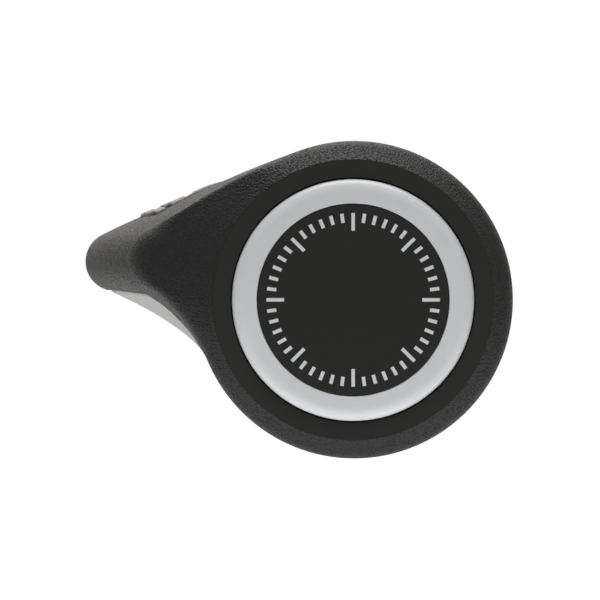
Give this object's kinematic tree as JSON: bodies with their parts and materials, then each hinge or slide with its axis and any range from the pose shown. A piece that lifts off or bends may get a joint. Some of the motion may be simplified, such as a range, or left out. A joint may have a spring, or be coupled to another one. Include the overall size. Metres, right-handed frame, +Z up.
{
  "type": "winged handlebar grip",
  "caption": "Ergonomic bicycle handlebar grip with a padded palm wing, clamped at its inner end and closed by a bar end plug.",
  "frame": {"origin": "on the bar axis, where the bore that grips the bar starts, 27 mm inside the closed outer end", "axes": "+Y along the bar towards the middle of the bicycle, +Z up, +X forward; the palm wing points to -X"},
  "size_m": [0.0522, 0.1298, 0.0391],
  "materials": {
    "rubber": "fine leathery grain",
    "core_plastic": "satin moulded",
    "plate_plastic": "smooth satin",
    "bezel_plastic": "very matte",
    "cap_plastic": "silky light grey",
    "inlay_plastic": "matte print",
    "clamp_aluminium": "black anodised, bead blasted",
    "bolt_steel": "bright zinc"
  },
  "bodies": {
    "grip": {"grip_skin": "rubber", "core_tube": "core_plastic", "wing_plate": "plate_plastic", "end_bezel": "bezel_plastic"},
    "plug": {"plug_cap": "cap_plastic", "plug_inlay": "inlay_plastic", "plug_body": "core_plastic"},
    "clamp": {"clamp_ring": "clamp_aluminium"},
    "washer": {"bolt_washer": "bolt_steel"},
    "bolt": {"clamp_bolt": "bolt_steel"}
  },
  "joints": [
    {"name": "plug_pull", "type": "slide", "parent": "grip", "child": "plug", "axis": [0, -1, 0], "range_m": [0, 0.026]},
    {"name": "clamp_slide", "type": "slide", "parent": "grip", "child": "clamp", "axis": [0, 1, 0], "range_m": [0, 0.018]},
    {"name": "bolt_advance", "type": "slide", "parent": "clamp", "child": "washer", "axis": [1, 0, 0], "range_m": [0, 0.0056]},
    {"name": "bolt_turn", "type": "hinge", "parent": "washer", "child": "bolt", "pos_m": [0, 0.096, -0.0166], "axis": [1, 0, 0], "range_deg": [0, 2885]}
  ],
  "couplings": [
    {"joint": "bolt_turn", "follows": "bolt_advance", "rad_per_m": 8976}
  ]
}
